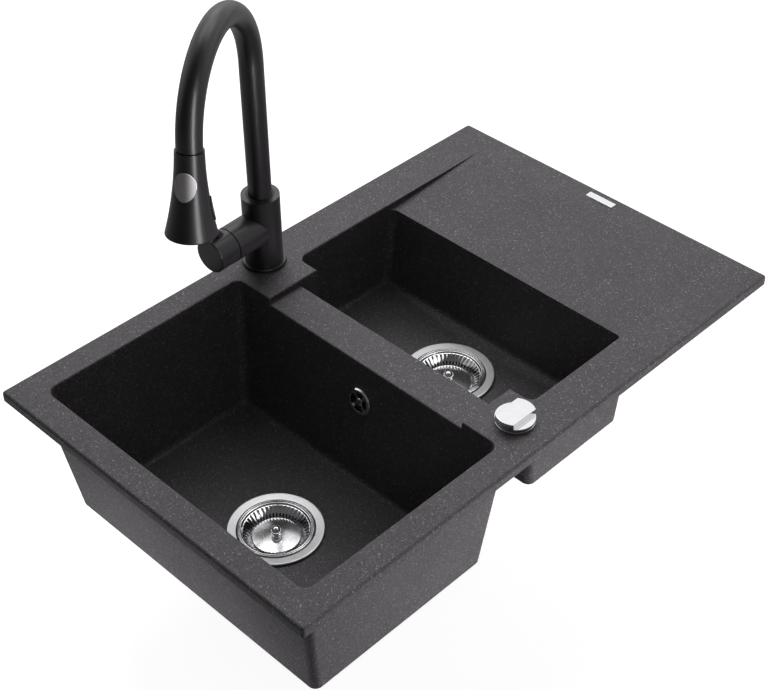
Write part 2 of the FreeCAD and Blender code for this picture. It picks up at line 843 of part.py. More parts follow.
def build_tap_base():
    """Base ring and seal on the deck, and the washers and nut under it."""
    shank_hole = shank_radius + seat_gap
    seal_outer = base_radius - base_seal_inset
    seal_inner = seal_outer - base_seal_width
    groove = ring(seal_outer, seal_inner, 0, base_seal)
    put("tap_base_ring", ring(base_radius, shank_hole, 0, base_height).cut(groove), tap_place)
    put("tap_base_seal", ring(seal_outer - running_gap, seal_inner + running_gap, 0, base_seal), tap_place)
    rubber_low = -deck_thickness - washer_rubber
    steel_low = rubber_low - washer_steel
    band = block(-washer_radius, -washer_flat, washer_radius, washer_flat, steel_low, -deck_thickness)
    rubber = ring(washer_radius, shank_hole, rubber_low, -deck_thickness)
    steel = ring(washer_radius, shank_hole, steel_low, rubber_low)
    put("tap_rubber_washer", rubber.common(band), tap_place)
    put("tap_steel_washer", steel.common(band), tap_place)
    nut = hexagon(nut_flat, steel_low - nut_height, steel_low)
    put("tap_nut", nut.cut(cylinder(shank_radius + running_gap, -shank_length, 0)), tap_place)


def build_handle():
    """Cartridge in the branch, and the handle that turns on it."""
    nut_low = branch_length - cartridge_nut
    stem_start = nut_low - stem_inside
    stem_end = handle_start + stem_outside
    handle_end = handle_start + handle_length
    stem_bore = stem_radius + running_gap
    cartridge = bar_along_x(cartridge_radius, cartridge_start, nut_low)
    put("tap_cartridge", cartridge.cut(bar_along_x(stem_bore, stem_start - seat_gap, nut_low)), handle_place)
    nut = bar_along_x(cartridge_radius, nut_low, branch_length)
    put("cartridge_nut", nut.cut(bar_along_x(cartridge_nut_bore, nut_low, branch_length)), handle_place)
    put("cartridge_stem", bar_along_x(stem_radius, stem_start, stem_end), handle_place)
    way = Vector(math.sin(math.radians(lever_lean)), 0, math.cos(math.radians(lever_lean)))
    root = Vector(handle_start + lever_root, 0, lever_root_height)
    lever = Part.makeCylinder(lever_radius, lever_length, root, way)
    lever = lever.fuse(Part.makeSphere(lever_radius, root + way * lever_length)).removeSplitter()
    put("handle_lever", lever, handle_place)
    cap = bar_along_x(handle_radius, handle_start, handle_end)
    rims = [edge for edge in cap.Edges if edge.BoundBox.XMin > handle_end - handle_round]
    cap = cap.makeFillet(handle_round, rims)
    grub_x = handle_start + grub_place
    grub_low = -handle_radius + grub_sink
    grub_hole = moved(cylinder(grub_radius + running_gap, -handle_radius, 0), grub_x, 0)
    cap = cap.cut([
        bar_along_x(handle_hollow, handle_start, handle_start + handle_hollow_depth),
        bar_along_x(stem_bore, handle_start, stem_end + seat_gap),
        Part.makeCylinder(lever_radius + running_gap, lever_length, root, way), grub_hole])
    put("handle_cap", cap, handle_place)
    put("handle_grub", moved(cylinder(grub_radius, grub_low, -stem_bore), grub_x, 0), handle_place)


def leg_place():
    """Frame at the end of the spout's bend whose z axis points down the leg."""
    turn = math.radians(spout_turn)
    end = Vector(
        spout_bend * (1 - math.cos(turn)), 0, spout_rise + spout_bend * math.sin(turn))
    return Placement(end, Rotation(Vector(0, 1, 0), spout_turn))


def spout_tube():
    """Bent spout tube with a groove for the retaining screw."""
    foot = Vector(0, 0, body_tap_height - spout_entry)
    shoulder = Vector(0, 0, spout_rise)
    half = math.radians(spout_turn) / 2
    middle = Vector(spout_bend * (1 - math.cos(half)), 0, spout_rise + spout_bend * math.sin(half))
    leg = leg_place()
    route = Part.Wire([
        Part.LineSegment(foot, shoulder).toShape(),
        Part.Arc(shoulder, middle, leg.Base).toShape(),
        Part.LineSegment(leg.Base, leg.multVec(Vector(0, 0, spout_leg))).toShape()])
    bars = []
    for radius in (spout_radius, spout_radius - spout_wall):
        circle = Part.Wire(Part.makeCircle(radius, foot, UP))
        bars.append(route.makePipeShell([circle], True, False))
    stop = body_tap_height - stop_from_top
    room = stop_radius + seat_gap
    groove = ring(spout_radius + stop_groove, spout_radius - stop_groove, stop - room, stop + room)
    return bars[0].cut([bars[1], groove])


def build_spout():
    """Spout tube with its bush, seals, retaining screw and docking sleeve."""
    put("spout_tube", spout_tube(), spout_place)
    outer = bearing_radius - running_gap
    inner = spout_radius + running_gap
    put("spout_bush", ring(outer, inner, body_tap_height - bush_height, body_tap_height), tap_place)
    seals = []
    for step in range(2):
        low = body_tap_height - top_bore_depth + spout_seal_rise + step * spout_seal_pitch
        seals.append(ring(outer, inner, low, low + spout_seal_height))
    put("spout_seals", Part.makeCompound(seals), tap_place)
    tip = spout_radius - stop_groove + seat_gap
    stop = Part.makeCylinder(
        stop_radius, body_tap_radius - stop_sink - tip, Vector(0, tip, body_tap_height - stop_from_top),
        Vector(0, 1, 0))
    put("spout_stop_screw", stop, tap_place)
    sleeve_outer = spout_radius - spout_wall - running_gap
    sleeve = ring(sleeve_outer, sleeve_inner, spout_leg - sleeve_length, spout_leg)
    put("dock_sleeve", sleeve, spout_place.multiply(leg_place()))


def head_radius(height):
    """Outside radius of the spray head at a distance from its top, on one even flare."""
    rise_one = head_middle_radius - head_top_radius
    rise_two = head_foot_radius - head_middle_radius
    half = head_length / 2
    bend = (rise_two - rise_one) / (2 * half * half)
    slope = (rise_two + rise_one) / (2 * half)
    step = height - half
    return head_middle_radius + slope * step + bend * step * step


def head_form(offset, low, high):
    """Solid of the head's flare between two heights, grown or shrunk by an offset."""
    middle = (low + high) / 2
    ends = [Vector(head_radius(height) + offset, 0, height) for height in (low, middle, high)]
    foot = Vector(0, 0, low)
    top = Vector(0, 0, high)
    outline = Part.Wire([
        Part.LineSegment(foot, ends[0]).toShape(), Part.Arc(*ends).toShape(),
        Part.LineSegment(ends[2], top).toShape(), Part.LineSegment(top, foot).toShape()])
    return Part.Face(outline).revolve(CENTRE, UP, 360)


def oval_bar(width, length, centre, heading):
    """Oval bar that points sideways out of the head at a heading about its axis."""
    tip = Vector(0, 0, centre + length / 2)
    oval = Part.Ellipse(tip, Vector(0, width / 2, centre), Vector(0, 0, centre))
    face = Part.Face(Part.Wire(oval.toShape()))
    bar = face.extrude(Vector(2 * head_foot_radius, 0, 0))
    bar.rotate(CENTRE, UP, heading)
    return bar


def head_button(width, length, centre, proud, heading):
    """Button that follows the head's skin, standing a little proud of it."""
    skin = head_form(proud, 0, head_length).cut(head_form(-button_depth, 0, head_length))
    return skin.common(oval_bar(width, length, centre, heading))


def build_head():
    """Pull-out spray head with its buttons, valve core and nozzle plate."""
    place = spout_place.multiply(leg_place()).multiply(
        Placement(Vector(0, 0, spout_leg + dock_gap), Rotation()))
    plate_low = head_length - nozzle_inset - nozzle_plate
    plate_high = head_length - nozzle_inset
    shell = head_form(0, 0, head_length)
    foot_edges = [edge for edge in shell.Edges if edge.BoundBox.ZMin > head_length - head_foot_round]
    shell = shell.makeFillet(head_foot_round, foot_edges)
    gap = 2 * button_gap
    shell = shell.cut([
        head_form(-head_wall, head_wall, head_length), cylinder(dock_radius + running_gap, 0, head_wall),
        oval_bar(button_width + gap, button_length + gap, button_centre, button_heading),
        oval_bar(
            side_button_width + gap, side_button_length + gap, side_button_centre, side_button_heading)])
    put("head_shell", shell, place)
    spool_way = Vector(-1, 0, 0)
    spool_start = Vector(-spool_end, 0, button_centre)
    spool_bore = Part.makeCylinder(
        spool_radius + running_gap, head_foot_radius, Vector(0, 0, button_centre), spool_way)
    core = cylinder(dock_radius, -dock_height, head_wall).fuse(cylinder(core_radius, head_wall, plate_low))
    put("valve_core", core.cut(spool_bore), place)
    put("nozzle_plate", head_form(-head_wall - nozzle_gap, plate_low, plate_high), place)
    tips = []
    for count, radius in nozzle_rings:
        tip = cylinder(nozzle_tip, plate_high, plate_high + nozzle_tip_height)
        tips += circle_of(tip, count, radius)
    put("nozzle_tips", Part.makeCompound(tips), place)
    nipple = cylinder(nipple_radius, -dock_height - nipple_length, -dock_height)
    put("hose_nipple", nipple, place)
    put("spray_button", head_button(
        button_width, button_length, button_centre, button_proud, button_heading), place)
    put("side_button", head_button(
        side_button_width, side_button_length, side_button_centre, side_button_proud,
        side_button_heading), place)
    spool = Part.makeCylinder(spool_radius, head_foot_radius, spool_start, spool_way)
    put("diverter_spool", spool.common(head_form(-button_depth - seat_gap, 0, head_length)), place)


put("sink_body", sink_body())
put("badge_plate", badge_plate())
build_waste("main", main_bowl, True)
build_waste("small", small_bowl, False)
build_overflow()
build_popup_control()
build_tap_base()
put("tap_body", tap_body(), tap_place)
build_handle()
build_spout()
build_head()

os.makedirs("parts", exist_ok=True)
for name, piece in pieces.items():
    piece.exportStep("parts/" + name + ".step")
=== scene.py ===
import json
import math
import bmesh
import bpy
from mathutils import Matrix, Vector

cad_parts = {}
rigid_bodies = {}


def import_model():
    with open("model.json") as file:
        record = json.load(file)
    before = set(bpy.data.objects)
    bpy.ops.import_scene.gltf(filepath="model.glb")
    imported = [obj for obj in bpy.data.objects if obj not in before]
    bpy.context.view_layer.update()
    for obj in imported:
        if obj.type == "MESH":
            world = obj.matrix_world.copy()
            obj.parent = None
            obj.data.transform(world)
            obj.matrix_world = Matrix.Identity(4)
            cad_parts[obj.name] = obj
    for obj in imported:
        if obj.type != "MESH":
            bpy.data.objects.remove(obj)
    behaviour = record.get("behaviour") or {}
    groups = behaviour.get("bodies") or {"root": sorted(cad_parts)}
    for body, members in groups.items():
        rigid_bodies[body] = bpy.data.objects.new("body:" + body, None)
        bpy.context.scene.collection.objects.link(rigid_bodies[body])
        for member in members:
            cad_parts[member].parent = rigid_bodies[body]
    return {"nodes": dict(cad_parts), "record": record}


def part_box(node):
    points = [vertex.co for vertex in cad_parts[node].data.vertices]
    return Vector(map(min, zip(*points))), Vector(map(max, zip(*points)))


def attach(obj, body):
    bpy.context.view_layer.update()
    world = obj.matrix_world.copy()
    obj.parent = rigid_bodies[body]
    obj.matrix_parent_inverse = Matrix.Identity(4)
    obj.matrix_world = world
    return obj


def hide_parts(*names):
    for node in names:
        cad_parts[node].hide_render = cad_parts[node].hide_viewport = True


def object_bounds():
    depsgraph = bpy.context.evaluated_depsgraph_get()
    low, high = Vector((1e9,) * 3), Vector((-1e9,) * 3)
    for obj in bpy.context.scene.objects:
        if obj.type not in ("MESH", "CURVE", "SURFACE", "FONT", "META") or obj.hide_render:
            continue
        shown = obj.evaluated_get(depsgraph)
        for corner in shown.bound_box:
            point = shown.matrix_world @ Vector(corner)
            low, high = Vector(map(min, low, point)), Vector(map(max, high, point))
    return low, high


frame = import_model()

# A dark granite composite kitchen sink with two bowls, a drainer, two basket wastes, an overflow,
# a pop-up control and a matte black mixer tap with a pull-out spray head.
# Sizes are in millimetres unless a comment says otherwise; pieces are drawn in the part's own frame.

cad_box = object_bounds()
slot_of = {entry["node"]: entry["material_slot"] for entry in frame["record"]["subparts"]}
body_of = {node: body for body, nodes in frame["record"]["behaviour"]["bodies"].items() for node in nodes}
MM = 0.001
FULL_TURN = 2 * math.pi

# How finely round forms are divided
ROUND_STEPS = 96
POST_STEPS = 48
HOLE_STEPS = 32
BALL_COLUMNS = 40
BALL_ROWS = 24
CORNER_STEPS = 4
EDGE_STEPS = 3
HALF_STEP = 0.5

# Points closer than this, in metres, are one; faces within the flat angle, in degrees, are one face
MERGE = 1e-6
FLAT_ANGLE = 0.3

# Edges over these angles, in degrees, stay crisp, and so do edges between two faces over a broad area,
# in square millimetres
SOFT_ANGLE = 32.0
BASKET_ANGLE = 26.0
BROAD_FACE = 300.0

# Camera, matched to the photograph, in metres and degrees
CAMERA_PLACE = (-1.008126, -1.217125, 1.173310)
CAMERA_TILT = 49.896
CAMERA_HEADING = -45.839
CAMERA_LENS = 75.13
CAMERA_SHIFT = (-0.0234, 0.0020)

# Middle of each waste on its seat face
WASTES = {"main": (-203.5, -236.0, -161.0), "small": (82.5, -236.75, -105.0)}

# Rim of the sink: its plan, its upper edge, and the round of that edge as cast and as drawn here
RIM_LENGTH = 755.0
RIM_WIDTH = 480.0
RIM_TOP = 12.0
RIM_CORNER = 4.0
CAST_ROUND = 2.0
SOFT_ROUND = 3.6

# Rounds along the edges of the wastes, from a trimmed edge to the foot of a drawn cup
TRIM_ROUND = 0.2
LIP_ROUND = 0.3
PRESS_ROUND = 0.4
MOUTH_ROUND = 0.5
BEAD_ROUND = 0.6
ROLL_ROUND = 0.7
FOOT_ROUND = 0.8
CUP_ROUND = 2.0

# Waste flange and its cup
FLANGE_RADIUS = 56.5
FLANGE_LOW = 1.5
FLANGE_TOP = 3.1
FLANGE_DISH = 0.8
FLANGE_EDGE = 1.3
MOUTH_RADIUS = 45.5
CUP_RADIUS = 46.5
CUP_FLOOR = -28.8
CUP_LOW = -30.0
CUP_PLATE = 30.0
DRAIN_HOLES = 6
DRAIN_RADIUS = 4.5
DRAIN_CIRCLE = 15.0
SCREW_HOLE = 5.05

# Strainer basket: radii and heights of its rim, beads, fluted wall, slots and domed base
BASKET_RIM = 44.2
BASKET_BEAD = 42.8
BASKET_INNER_BEAD = 41.7
BASKET_MOUTH = 40.2
BASKET_GROOVE = 0.7
FLUTE_TOP = 38.4
FLUTE_HIGH = 1.0
FLUTE_DEPTH = 0.9
SLOT_TOP = 31.2
SLOT_HIGH = -4.6
SLOT_FOOT = 28.3
SLOT_LOW = -8.6
BASKET_BASE = 27.6
BASKET_FLOOR = -9.6
BASKET_DOME = 1.1
DOME_RADIUS = 15.0
DOME_SHARE = 0.7
BASKET_SHEET = 0.7
MARGIN = 0.1

# Strainer post: its ball, neck, foot, shaft and the disc that carries the seal
BALL_RADIUS = 6.3
BALL_MIDDLE = -1.6
NECK_RADIUS = 3.6
NECK_TOP = -6.2
NECK_WAIST = 3.0
NECK_LOW = -6.6
FOOT_RADIUS = 5.0
FOOT_TOP = -7.8
FOOT_LOW = -8.6
POST_RADIUS = 2.95
SHAFT_RADIUS = 4.0
SHAFT_TOP = -11.0
CARRIER_RADIUS = 24.0
CARRIER_LOW = -25.3
CARRIER_TOP = -23.8

# Width of the softened edges of a piece that FORMS doesn't name
PLAIN_EDGE = 0.3

# Grain and texture sizes; pebbles, spun rings and mould grain are drawn coarser than real, so that they show
GRAIN = 1.0
CLOUD = 70.0
SKIN = 1.1
SKIN_HEIGHT = 0.12
PEBBLE = 0.8
POLISH_HAZE = 9.0
SPUN_RING = 1.6
MOULD = 0.8

# A wave texture repeats once in this share of its scale
WAVE_REPEAT = 0.05 * FULL_TURN

# Floor: its size in metres, its colour, and how strongly it shines to the eye and in gloss
FLOOR_SIZE = 20.0
FLOOR_COLOUR = "#8c8c8c"
FLOOR_GLOW = 0.94
FLOOR_MIRRORED = 0.08

# Room: its even fill, where its ceiling starts and ends to dim, and the side on which it is bright
WORLD_FILL = 0.05
CEILING_START = 0.75
CEILING_END = 0.97
CEILING_LEVEL = 0.3
BRIGHT_SIDE = (0.72, 0.69, 0.0)
SIDE_START = -0.35
SIDE_END = 0.25
SIDE_LEVEL = 0.1

# Lamps: where each stands, the point that it faces and its size, in metres, and its power, in watts.
# One that serves only some pieces does what flags and cards do in a studio, which keep light off the rest.
SINK_MIDDLE = (0.0, -0.25, 0.0)
LAMPS = {
    # Main light, from behind on the right
    "back_softbox": {
        "place": (3.40, 3.03, 3.69), "aim": SINK_MIDDLE, "size": (5.7, 2.9), "power": 590.0, "shows": False},
    # Gleam of the main light on level faces
    "sky_softbox": {
        "place": (0.614, 0.343, 1.92), "aim": SINK_MIDDLE, "size": (2.0, 1.0), "power": 13.0,
        "lights": False},
    # Low light along the front, which grazes the outer walls
    "front_softbox": {
        "place": (3.4, -3.6, -0.1), "aim": (-0.1, -0.4, -0.08), "size": (1.6, 0.3), "power": 380.0,
        "shows": False, "only": "side_pieces"},
    # Long bright stripe down the tap
    "stripe_softbox": {
        "place": (-0.25, -0.56, 0.3), "aim": (-0.23, 0.0, 0.3), "size": (0.11, 0.7), "power": 3.0,
        "lights": False, "only": "black_pieces"},
    # Bright bars in the flutes of the strainers
    "strainer_softbox": {
        "place": (0.35, -1.08, 0.95), "aim": (-0.2, -0.24, -0.16), "size": (0.7, 0.5), "power": 1.7,
        "lights": False, "only": "steel_pieces"},
    # Strips at floor level, which light the sloping outer walls and leave the rim's edge dark
    "left_softbox": {
        "place": (-0.48, -0.19, -0.255), "aim": (-0.33, -0.19, -0.09), "size": (0.42, 0.05), "power": 1.35,
        "shows": False, "only": "side_pieces"},
    "low_softbox": {
        "place": (0.0, -0.70, -0.255), "aim": (0.0, -0.43, -0.09), "size": (0.45, 0.06), "power": 1.9,
        "shows": False, "only": "side_pieces"},
    # Soft fill for the inner walls of the bowls
    "fill_softbox": {
        "place": (-0.7, -2.1, 2.2), "aim": SINK_MIDDLE, "size": (1.6, 1.2), "power": 11.0, "shows": False},
    # Gleam on the top of the tap, and the tap's own low front light
    "tap_top_softbox": {
        "place": (1.08, 1.04, 1.4), "aim": (-0.02, -0.03, 0.1), "size": (0.9, 0.6), "power": 2.9,
        "lights": False, "only": "black_pieces"},
    "tap_front_softbox": {
        "place": (2.6, -3.9, -0.1), "aim": (-0.1, -0.1, 0.1), "size": (1.6, 0.3), "power": 420.0,
        "shows": False, "only": "black_pieces"}}


def linear(code):
    """Linear colour of an sRGB hex value."""
    parts = [int(code[start:start + 2], 16) / 255 for start in (1, 3, 5)]
    return [part / 12.92 if part <= 0.04045 else ((part + 0.055) / 1.055) ** 2.4 for part in parts] + [1.0]


def set_stops(band, stops):
    """Give a colour band its (place, sRGB hex) stops; new ones start halfway and then get their place."""
    while len(band) < len(stops):
        band.new(0.5)
    for element, (place, code) in zip(band, stops):
        element.position = place
        element.color = linear(code)


def add(tree, kind, settings=None, links=None):
    """Add a node, give it its settings, colour stops among them, and link its inputs."""
    node = tree.nodes.new(kind)
    for name, value in (settings or {}).items():
        if name == "stops":
            set_stops(node.color_ramp.elements, value)
        elif isinstance(name, str) and hasattr(node, name):
            setattr(node, name, value)
        else:
            node.inputs[name].default_value = value
    for name, source in (links or {}).items():
        tree.links.new(source, node.inputs[name])
    return node


def start_finish(name):
    """New material; gives it, its tree and its object coordinates."""
    material = bpy.data.materials.new(name)
    material.use_nodes = True
    tree = material.node_tree
    tree.nodes.clear()
    where = add(tree, "ShaderNodeTexCoord").outputs["Object"]
    return material, tree, where


def end_finish(tree, settings, links):
    """Main shader of a material, with its settings and links, and the material's output."""
    shader = add(tree, "ShaderNodeBsdfPrincipled", settings, links)
    add(tree, "ShaderNodeOutputMaterial", links={"Surface": shader.outputs[0]})


def even_skin(tree, settings, pattern, stops, low, high, height, strength):
    """Surface whose colour, roughness from low to high, and relief in millimetres follow one pattern."""
    tone = add(tree, "ShaderNodeValToRGB", {"stops": stops}, {"Fac": pattern})
    gloss = add(tree, "ShaderNodeMapRange", {"To Min": low, "To Max": high}, {"Value": pattern})
    relief = add(
        tree, "ShaderNodeBump", {"Distance": height * MM, "Strength": strength}, {"Height": pattern})
    end_finish(tree, settings, {
        "Base Color": tone.outputs["Color"], "Roughness": gloss.outputs["Result"],
        "Normal": relief.outputs["Normal"]})


def granite_composite():
    """Quartz sand cast in black resin: charcoal grains, a few pale ones, and a dry, lightly pitted skin."""
    material, tree, where = start_finish("granite_composite_cast")
    grains = add(tree, "ShaderNodeTexVoronoi", {"Scale": 1 / (GRAIN * MM)}, {"Vector": where})
    picks = add(tree, "ShaderNodeSeparateColor", links={"Color": grains.outputs["Color"]})
    sand = (
        (0.0, "#322f32"), (0.3, "#3c393c"), (0.7, "#464346"), (0.93, "#504d50"), (0.98, "#6c696c"),
        (1.0, "#969396"))
    tone = add(tree, "ShaderNodeValToRGB", {"stops": sand}, {"Fac": picks.outputs["Red"]})
    cloud = add(tree, "ShaderNodeTexNoise", {"Scale": 1 / (CLOUD * MM), "Detail": 3.0}, {"Vector": where})
    shade = ((0.3, "#f0f0f0"), (0.7, "#ffffff"))
    drift = add(tree, "ShaderNodeValToRGB", {"stops": shade}, {"Fac": cloud.outputs["Fac"]})
    mixed = add(
        tree, "ShaderNodeMix", {"data_type": "RGBA", "blend_type": "MULTIPLY", 0: 1.0},
        {6: tone.outputs["Color"], 7: drift.outputs["Color"]})
    gloss = add(
        tree, "ShaderNodeMapRange", {"To Min": 0.5, "To Max": 0.66}, {"Value": picks.outputs["Green"]})
    skin = add(tree, "ShaderNodeTexNoise", {"Scale": 1 / (SKIN * MM), "Detail": 2.0}, {"Vector": where})
    relief = add(
        tree, "ShaderNodeBump", {"Distance": SKIN_HEIGHT * MM, "Strength": 0.5},
        {"Height": skin.outputs["Fac"]})
    end_finish(tree, {"Specular IOR Level": 0.4}, {
        "Base Color": mixed.outputs[2], "Roughness": gloss.outputs["Result"],
        "Normal": relief.outputs["Normal"]})
    return material


def powder_black():
    """Matte black powder coat baked on brass: near black, broad soft highlights, a fine pebbled skin."""
    material, tree, where = start_finish("powder_coat_matte_black")
    pebbles = add(tree, "ShaderNodeTexNoise", {"Scale": 1 / (PEBBLE * MM), "Detail": 2.0}, {"Vector": where})
    even_skin(
        tree, {"Specular IOR Level": 0.48}, pebbles.outputs["Fac"], ((0.3, "#161416"), (0.7, "#1c1a1c")),
        low=0.3, high=0.38, height=0.03, strength=0.25)
    return material


def polished_metal(name, dark, light, low, high, height):
    """Metal polished on a wheel: bright, with a faint uneven haze and fine wandering polish marks."""
    material, tree, where = start_finish(name)
    haze = add(
        tree, "ShaderNodeTexNoise", {"Scale": 1 / (POLISH_HAZE * MM), "Detail": 2.0}, {"Vector": where})
    even_skin(
        tree, {"Metallic": 1.0}, haze.outputs["Fac"], ((0.35, dark), (0.65, light)), low, high, height,
        strength=0.3)
    return material


def spun_steel(prefix):
    """Stainless steel spun to shape: bright, with close rings about its middle.

    The real rings are about a tenth as wide; they are drawn coarser so that they show.
    """
    material, tree, where = start_finish("stainless_steel_spun_" + prefix)
    middle = Vector(WASTES[prefix]) * -MM
    centred = add(tree, "ShaderNodeMapping", {"Location": middle}, {"Vector": where})
    rings = add(
        tree, "ShaderNodeTexWave",
        {"wave_type": "RINGS", "rings_direction": "Z", "Scale": WAVE_REPEAT / (SPUN_RING * MM),
         "Distortion": 0.6, "Detail": 2.0},
        {"Vector": centred.outputs[0]})
    even_skin(
        tree, {"Metallic": 1.0}, rings.outputs["Fac"], ((0.0, "#cfcfd1"), (1.0, "#dededf")),
        low=0.28, high=0.36, height=0.01, strength=0.2)
    return material


def moulded(name, dark, light, low, high, height, shine=0.5):
    """Moulded plastic or rubber with the fine spark-eroded grain of its mould."""
    material, tree, where = start_finish(name)
    grain = add(tree, "ShaderNodeTexNoise", {"Scale": 1 / (MOULD * MM), "Detail": 3.0}, {"Vector": where})
    even_skin(
        tree, {"Specular IOR Level": shine}, grain.outputs["Fac"], ((0.3, dark), (0.7, light)), low, high,
        height, strength=0.4)
    return material


# Finishes: darkest and lightest tone, lowest and highest roughness, and height of the skin's relief
GRANITE = granite_composite()
POWDER_BLACK = powder_black()
SPUN = {prefix: spun_steel(prefix) for prefix in WASTES}
STEEL = polished_metal("stainless_steel_polished", "#dcdcde", "#eaeaec", 0.12, 0.16, 0.0015)
CHROME = polished_metal("chrome_plate_bright", "#eeeef0", "#f2f2f4", 0.04, 0.06, 0.001)
SATIN_STEEL = polished_metal("stainless_steel_satin", "#a8a8aa", "#c2c2c4", 0.28, 0.4, 0.01)
BRASS = polished_metal("brass_turned", "#a98545", "#cba765", 0.22, 0.36, 0.01)
HEAD_PLASTIC = moulded("abs_painted_matte_black", "#161416", "#1c1a1c", 0.3, 0.38, 0.02, shine=0.44)
PIPE_PLASTIC = moulded("polypropylene_moulded_black", "#18181a", "#232325", 0.45, 0.6, 0.05)
GREY_PLASTIC = moulded("abs_moulded_grey", "#9d9a9d", "#a7a4a7", 0.5, 0.6, 0.02, shine=0.3)
WHITE_PLASTIC = moulded("acetal_moulded_white", "#cfcec8", "#dcdbd6", 0.35, 0.45, 0.02)
RUBBER = moulded("epdm_rubber_moulded", "#141415", "#1e1e1f", 0.7, 0.85, 0.05)

# Pieces that keep the form of their CAD node: finish and width of the softened edges
FORMS = {
    "badge_plate": (CHROME, 0.25),
    "popup_knob": (CHROME, 0.8),
    "popup_base": (CHROME, 0.4),
    "overflow_cover": (CHROME, 0.4),
    "overflow_screw": (SATIN_STEEL, 0.3),
    "tap_base_ring": (POWDER_BLACK, 0.6),
    "tap_body": (POWDER_BLACK, 0.5),
    "handle_cap": (POWDER_BLACK, 1.0),
    "handle_lever": (POWDER_BLACK, 0.0),
    "spout_tube": (POWDER_BLACK, 0.4),
    "head_shell": (HEAD_PLASTIC, 0.5),
    "side_button": (HEAD_PLASTIC, 0.4),
    "spout_bush": (PIPE_PLASTIC, 0.3),
    "spray_button": (GREY_PLASTIC, 0.4),
    "nozzle_plate": (PIPE_PLASTIC, 0.4),
    "nozzle_tips": (RUBBER, 0.2)}

# Finish of every other piece of that kind, by its material slot
SLOT_FINISHES = {
    "steel": SATIN_STEEL, "brass": BRASS, "black_plastic": PIPE_PLASTIC, "white_plastic": WHITE_PLASTIC,
    "rubber": RUBBER}


def crease(mesh, angle, broad):
    """Shade a mesh smooth but for edges over an angle, and edges between two faces over a broad area."""
    for face in mesh.faces:
        face.smooth = True
    for edge in mesh.edges:
        sharp = edge.calc_face_angle(0.0) > math.radians(angle)
        areas = [face.calc_area() for face in edge.link_faces]
        flat = broad and len(areas) == 2 and min(areas) > broad * MM * MM
        edge.smooth = not (sharp or flat)


def show(name, mesh, finish, node, edge=0.0, angle=SOFT_ANGLE, wall=0.0, broad=0.0):
    """Make a mesh the object that stands for a CAD node, with a wall inwards or soft edges if given."""
    crease(mesh, angle, broad)
    data = bpy.data.meshes.new(name)
    mesh.to_mesh(data)
    mesh.free()
    data.materials.clear()
    data.materials.append(finish)
    item = bpy.data.objects.new(name, data)
    bpy.context.scene.collection.objects.link(item)
    if wall:
        sheet = item.modifiers.new("sheet", "SOLIDIFY")
        sheet.thickness = wall * MM
        sheet.offset = -1.0
    if edge:
        bevel = item.modifiers.new("soft_edges", "BEVEL")
        bevel.width = edge * MM
        bevel.segments = EDGE_STEPS
        bevel.limit_method = "ANGLE"
        bevel.angle_limit = math.radians(angle)
        bevel.use_clamp_overlap = True
    weighted = item.modifiers.new("face_normals", "WEIGHTED_NORMAL")
    weighted.keep_sharp = True
    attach(item, body_of[node])
    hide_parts(node)


def cad_copy(node):
    """Mesh of a CAD node with its loose triangles merged and its flat faces made whole."""
    mesh = bmesh.new()
    mesh.from_mesh(frame["nodes"][node].data)
    bmesh.ops.remove_doubles(mesh, verts=mesh.verts, dist=MERGE)
    bmesh.ops.dissolve_limit(
        mesh, angle_limit=math.radians(FLAT_ANGLE), verts=mesh.verts, edges=mesh.edges)
    return mesh


def turned(points, steps=ROUND_STEPS):
    """Mesh turned about z from (radius, height, corner round) points."""
    mesh = bmesh.new()
    corners = [mesh.verts.new((radius * MM, 0, height * MM)) for radius, height, _ in points]
    for one, two in zip(corners, corners[1:]):
        mesh.edges.new((one, two))
    for corner, (_, _, soft) in zip(corners, points):
        if soft:
            bmesh.ops.bevel(
                mesh, geom=[corner], offset=soft * MM, offset_type="OFFSET", segments=CORNER_STEPS,
                profile=0.5, affect="VERTICES", material=-1)
    bmesh.ops.spin(
        mesh, geom=mesh.verts[:] + mesh.edges[:], axis=(0, 0, 1), cent=(0, 0, 0), angle=FULL_TURN,
        steps=steps, use_merge=True)
    bmesh.ops.remove_doubles(mesh, verts=mesh.verts, dist=MERGE)
    bmesh.ops.recalc_face_normals(mesh, faces=mesh.faces)
    return mesh


def join(mesh, extra):
    """Add another mesh's faces to a mesh."""
    data = bpy.data.meshes.new("joined")
    extra.to_mesh(data)
    extra.free()
    mesh.from_mesh(data)
    bpy.data.meshes.remove(data)


def placed(mesh, prefix):
    """Move a mesh from its own origin to the middle of a waste."""
    bmesh.ops.translate(mesh, verts=mesh.verts, vec=Vector(WASTES[prefix]) * MM)
    return mesh


def plate_with_holes(outer, low, high, holes):
    """Round plate with round holes of (radius, x, y)."""
    mesh = bmesh.new()
    for radius, x, y in [(outer, 0, 0)] + holes:
        bmesh.ops.create_circle(
            mesh, cap_ends=False, segments=HOLE_STEPS if radius < outer else ROUND_STEPS, radius=radius * MM,
            matrix=Matrix.Translation((x * MM, y * MM, low * MM)))
    bmesh.ops.triangle_fill(mesh, use_beauty=True, edges=mesh.edges, normal=(0, 0, -1))
    lifted = bmesh.ops.extrude_face_region(mesh, geom=mesh.faces[:], use_keep_orig=True)["geom"]
    raised = [item for item in lifted if isinstance(item, bmesh.types.BMVert)]
    bmesh.ops.translate(mesh, verts=raised, vec=(0, 0, (high - low) * MM))
    bmesh.ops.recalc_face_normals(mesh, faces=mesh.faces)
    return mesh


